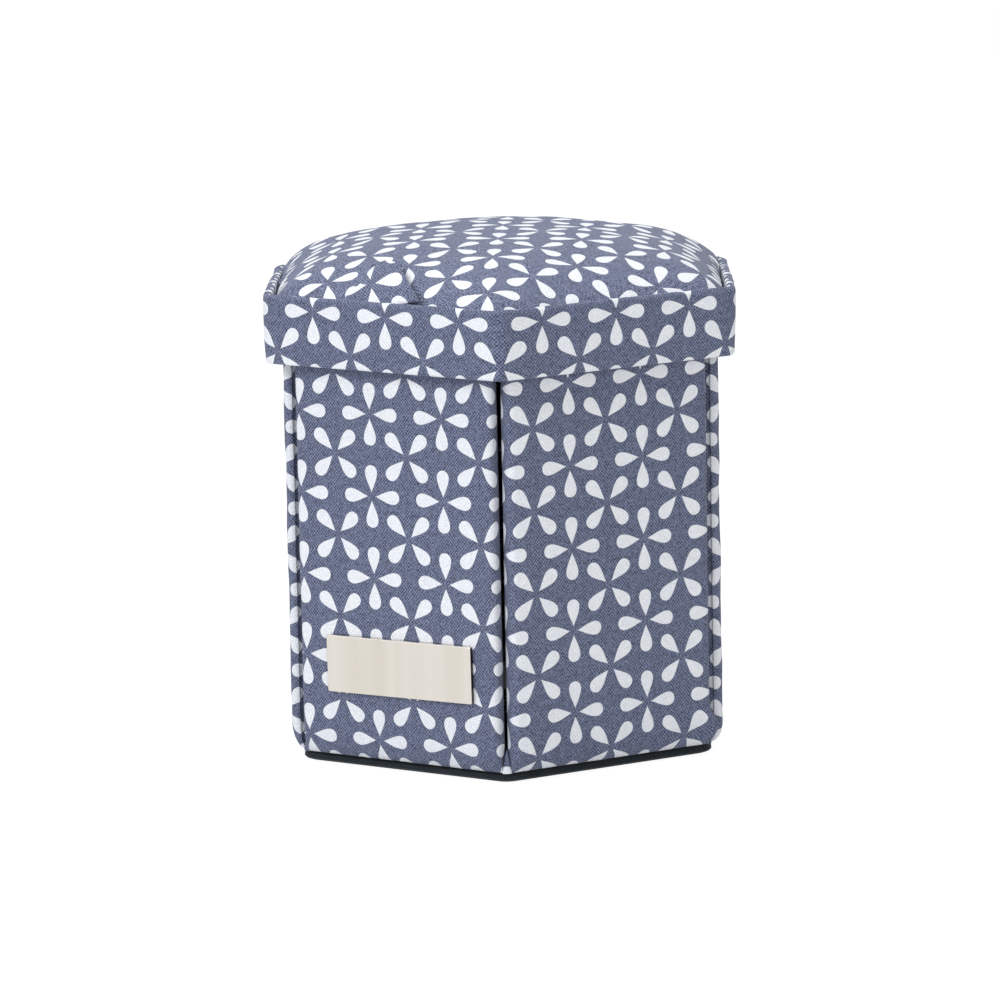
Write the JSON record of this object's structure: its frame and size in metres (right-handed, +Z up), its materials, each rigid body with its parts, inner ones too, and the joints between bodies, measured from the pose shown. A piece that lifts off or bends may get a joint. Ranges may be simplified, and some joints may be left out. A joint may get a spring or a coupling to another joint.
{
  "type": "sewing kit",
  "caption": "Hexagonal fabric-covered sewing box with padded walls that fold out from the base and a lift-off lid topped by a crowned pincushion.",
  "frame": {"origin": "middle of the sole's underside, on the table", "axes": "+Z up; a corner of the hexagon faces -Y, the front, and flats face +X and -X"},
  "size_m": [0.104, 0.1192, 0.1161],
  "materials": {
    "printed_cotton": "twill cotton, slate blue with white four-petal flowers",
    "lining_cotton": "plain woven cotton, slate",
    "grey_board": "uncoated grey board",
    "sole_felt": "dense dark felt",
    "wadding": "polyester fibre fill",
    "elastic": "woven elastic",
    "plate_nickel": "brushed nickel plate",
    "foam_tape": "adhesive foam tape",
    "reel_plastic": "moulded polystyrene",
    "thread_white": "wound polyester thread",
    "thread_navy": "wound polyester thread",
    "thread_red": "wound polyester thread",
    "thread_grey": "wound polyester thread",
    "scissors_steel": "ground stainless steel",
    "scissors_grip": "moulded ABS",
    "thimble_steel": "dimpled nickel-plated steel",
    "needle_card": "uncoated card",
    "needle_steel": "polished steel",
    "measuring_tape": "coated fibreglass tape"
  },
  "bodies": {
    "base": {"base_sole": "sole_felt", "base_board": "grey_board", "base_lining": "lining_cotton", "hinge_tapes": "printed_cotton", "scissors_blade_lower": "scissors_steel", "scissors_rivet": "scissors_steel", "scissors_grip_lower": "scissors_grip", "scissors_keeper": "elastic", "thimble": "thimble_steel", "thimble_ring": "lining_cotton"},
    "scissors_upper": {"scissors_blade_upper": "scissors_steel", "scissors_grip_upper": "scissors_grip"},
    "lid": {"lid_rim": "grey_board", "lid_rim_cover": "printed_cotton", "lid_board": "grey_board", "lid_lining": "lining_cotton", "cushion_pad": "wadding", "cushion_cover": "printed_cotton"},
    "flap_front_left": {"flap_front_left_board": "grey_board", "flap_front_left_cover": "printed_cotton", "flap_front_left_lining": "lining_cotton", "flap_front_left_band": "elastic", "reel_front_left_core": "reel_plastic", "reel_front_left_thread": "thread_white", "name_plate": "plate_nickel", "plate_tape": "foam_tape"},
    "flap_front_right": {"flap_front_right_board": "grey_board", "flap_front_right_cover": "printed_cotton", "flap_front_right_lining": "lining_cotton", "flap_front_right_band": "elastic", "reel_front_right_core": "reel_plastic", "reel_front_right_thread": "thread_navy"},
    "flap_right": {"flap_right_board": "grey_board", "flap_right_cover": "printed_cotton", "flap_right_lining": "lining_cotton", "flap_right_pocket": "lining_cotton", "needle_card": "needle_card", "needles": "needle_steel"},
    "flap_back_right": {"flap_back_right_board": "grey_board", "flap_back_right_cover": "printed_cotton", "flap_back_right_lining": "lining_cotton", "flap_back_right_band": "elastic", "reel_back_right_core": "reel_plastic", "reel_back_right_thread": "thread_red"},
    "flap_back_left": {"flap_back_left_board": "grey_board", "flap_back_left_cover": "printed_cotton", "flap_back_left_lining": "lining_cotton", "flap_back_left_band": "elastic", "reel_back_left_core": "reel_plastic", "reel_back_left_thread": "thread_grey"},
    "flap_left": {"flap_left_board": "grey_board", "flap_left_cover": "printed_cotton", "flap_left_lining": "lining_cotton", "flap_left_pocket": "lining_cotton", "tape_measure": "measuring_tape"}
  },
  "joints": [
    {"name": "lid_lift", "type": "slide", "parent": "base", "child": "lid", "axis": [0, 0, 1], "range_m": [0, 0.27]},
    {"name": "flap_front_left_fold", "type": "hinge", "parent": "base", "child": "flap_front_left", "pos_m": [-0.023, -0.03983, 0.0025], "axis": [0.866, -0.5, 0], "range_deg": [0, 85.5]},
    {"name": "flap_front_right_fold", "type": "hinge", "parent": "base", "child": "flap_front_right", "pos_m": [0.023, -0.03983, 0.0025], "axis": [0.866, 0.5, 0], "range_deg": [0, 90]},
    {"name": "flap_right_fold", "type": "hinge", "parent": "base", "child": "flap_right", "pos_m": [0.04599, 0, 0.0025], "axis": [0, 1, 0], "range_deg": [0, 90]},
    {"name": "flap_back_right_fold", "type": "hinge", "parent": "base", "child": "flap_back_right", "pos_m": [0.023, 0.03983, 0.0025], "axis": [-0.866, 0.5, 0], "range_deg": [0, 90]},
    {"name": "flap_back_left_fold", "type": "hinge", "parent": "base", "child": "flap_back_left", "pos_m": [-0.023, 0.03983, 0.0025], "axis": [-0.866, -0.5, 0], "range_deg": [0, 90]},
    {"name": "flap_left_fold", "type": "hinge", "parent": "base", "child": "flap_left", "pos_m": [-0.04599, 0, 0.0025], "axis": [0, -1, 0], "range_deg": [0, 90]},
    {"name": "scissors_pivot", "type": "hinge", "parent": "base", "child": "scissors_upper", "pos_m": [0, 0, 0.0079], "axis": [0, 0, 1], "range_deg": [0, 40]}
  ],
  "couplings": [
    {"joint": "flap_front_left_fold", "follows": "lid_lift", "rad_per_m": 5.5204},
    {"joint": "flap_front_right_fold", "follows": "lid_lift", "rad_per_m": 5.8113},
    {"joint": "flap_right_fold", "follows": "lid_lift", "rad_per_m": 5.8113},
    {"joint": "flap_back_right_fold", "follows": "lid_lift", "rad_per_m": 5.8113},
    {"joint": "flap_back_left_fold", "follows": "lid_lift", "rad_per_m": 5.8113},
    {"joint": "flap_left_fold", "follows": "lid_lift", "rad_per_m": 5.8113}
  ]
}
